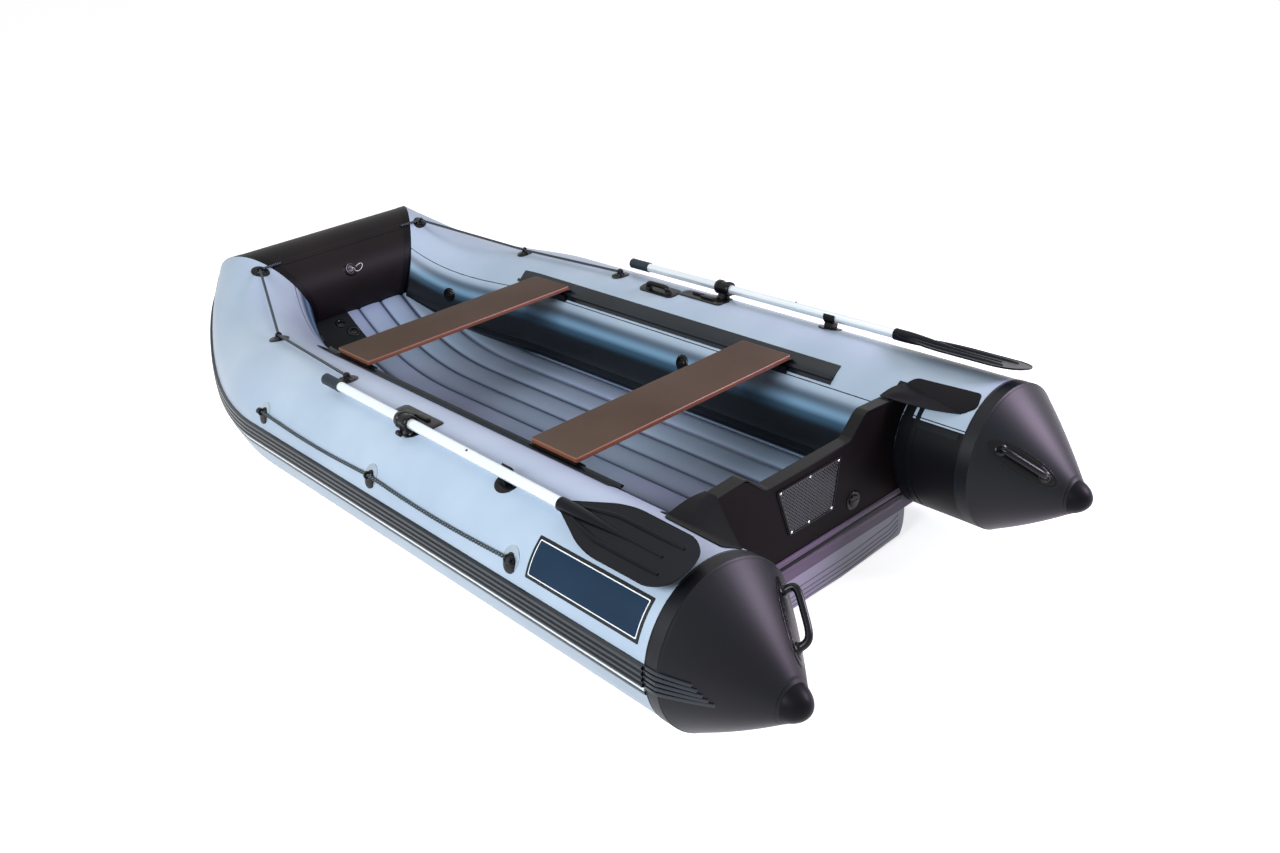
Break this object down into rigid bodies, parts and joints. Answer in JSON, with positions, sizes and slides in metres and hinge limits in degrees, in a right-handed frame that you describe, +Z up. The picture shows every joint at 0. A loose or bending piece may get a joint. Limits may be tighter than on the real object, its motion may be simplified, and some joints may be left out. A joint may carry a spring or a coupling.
{
  "type": "inflatable boat",
  "caption": "Open inflatable motor boat with an air floor, plywood transom, two thwarts that slide on tracks, and a pair of oars in swivel rowlocks.",
  "frame": {"origin": "middle of the boat's length and beam, on the ground under the keel", "axes": "+X to the bow, +Y to port, +Z up"},
  "size_m": [3.141, 1.5608, 0.618],
  "materials": {
    "tube_fabric": "satin",
    "black_fabric": "satin",
    "cap_rubber": "satin",
    "strake_rubber": "satin",
    "stripe_rubber": "satin",
    "floor_fabric": "satin",
    "hull_fabric": "satin",
    "transom_ply": "satin",
    "trim_rubber": "satin",
    "pad_plastic": "satin",
    "thwart_ply": "satin",
    "runner_plastic": "satin",
    "rail_rubber": "satin",
    "oar_aluminium": "satin",
    "grip_rubber": "satin",
    "blade_plastic": "satin",
    "collar_plastic": "satin",
    "fitting_plastic": "satin",
    "handle_plastic": "satin",
    "wing_fabric": "satin",
    "rope": "woven",
    "valve_plastic": "satin"
  },
  "bodies": {
    "boat": {"bow_tube": "black_fabric", "bow_valve": "valve_plastic", "carry_handle": "handle_plastic", "drain_plug": "fitting_plastic", "floor": "floor_fabric", "floor_valves": "valve_plastic", "hull": "hull_fabric", "motor_pad": "pad_plastic", "port_bow_rope": "rope", "port_cone": "black_fabric", "port_cone_cap": "cap_rubber", "port_cone_handle": "handle_plastic", "port_oar_clip": "fitting_plastic", "port_rail": "rail_rubber", "port_rowlock": "fitting_plastic", "port_side_guides": "fitting_plastic", "port_side_rope": "rope", "port_transom_wing": "wing_fabric", "port_tube": "tube_fabric", "port_tube_valves": "valve_plastic", "port_upper_guides": "fitting_plastic", "rub_strake": "strake_rubber", "starboard_bow_rope": "rope", "starboard_cone": "black_fabric", "starboard_cone_cap": "cap_rubber", "starboard_cone_handle": "handle_plastic", "starboard_oar_clip": "fitting_plastic", "starboard_rail": "rail_rubber", "starboard_rowlock": "fitting_plastic", "starboard_side_guides": "fitting_plastic", "starboard_side_rope": "rope", "starboard_transom_wing": "wing_fabric", "starboard_tube": "tube_fabric", "starboard_tube_valves": "valve_plastic", "starboard_upper_guides": "fitting_plastic", "strake_stripe": "stripe_rubber", "transom": "transom_ply", "transom_sill": "trim_rubber", "transom_trim": "trim_rubber"},
    "port_oar": {"port_oar_blade": "blade_plastic", "port_oar_collar": "collar_plastic", "port_oar_grip": "grip_rubber", "port_oar_shaft": "oar_aluminium"},
    "starboard_oar": {"starboard_oar_blade": "blade_plastic", "starboard_oar_collar": "collar_plastic", "starboard_oar_grip": "grip_rubber", "starboard_oar_shaft": "oar_aluminium"},
    "aft_seat": {"aft_thwart": "thwart_ply", "aft_thwart_runners": "runner_plastic"},
    "forward_seat": {"forward_thwart": "thwart_ply", "forward_thwart_runners": "runner_plastic"}
  },
  "joints": [
    {"name": "port_oar_swing", "type": "hinge", "parent": "boat", "child": "port_oar", "pos_m": [-0.17648, 0.63, 0.507], "axis": [0, 0.2855, 0.9584], "range_deg": [-100, 0]},
    {"name": "starboard_oar_swing", "type": "hinge", "parent": "boat", "child": "starboard_oar", "pos_m": [-0.17648, -0.63, 0.507], "axis": [0, -0.2855, 0.9584], "range_deg": [0, 100]},
    {"name": "aft_seat_slide", "type": "slide", "parent": "boat", "child": "aft_seat", "axis": [1, 0, 0], "range_m": [-0.15, 0.25]},
    {"name": "forward_seat_slide", "type": "slide", "parent": "boat", "child": "forward_seat", "axis": [1, 0, 0], "range_m": [-0.6, 0]}
  ]
}
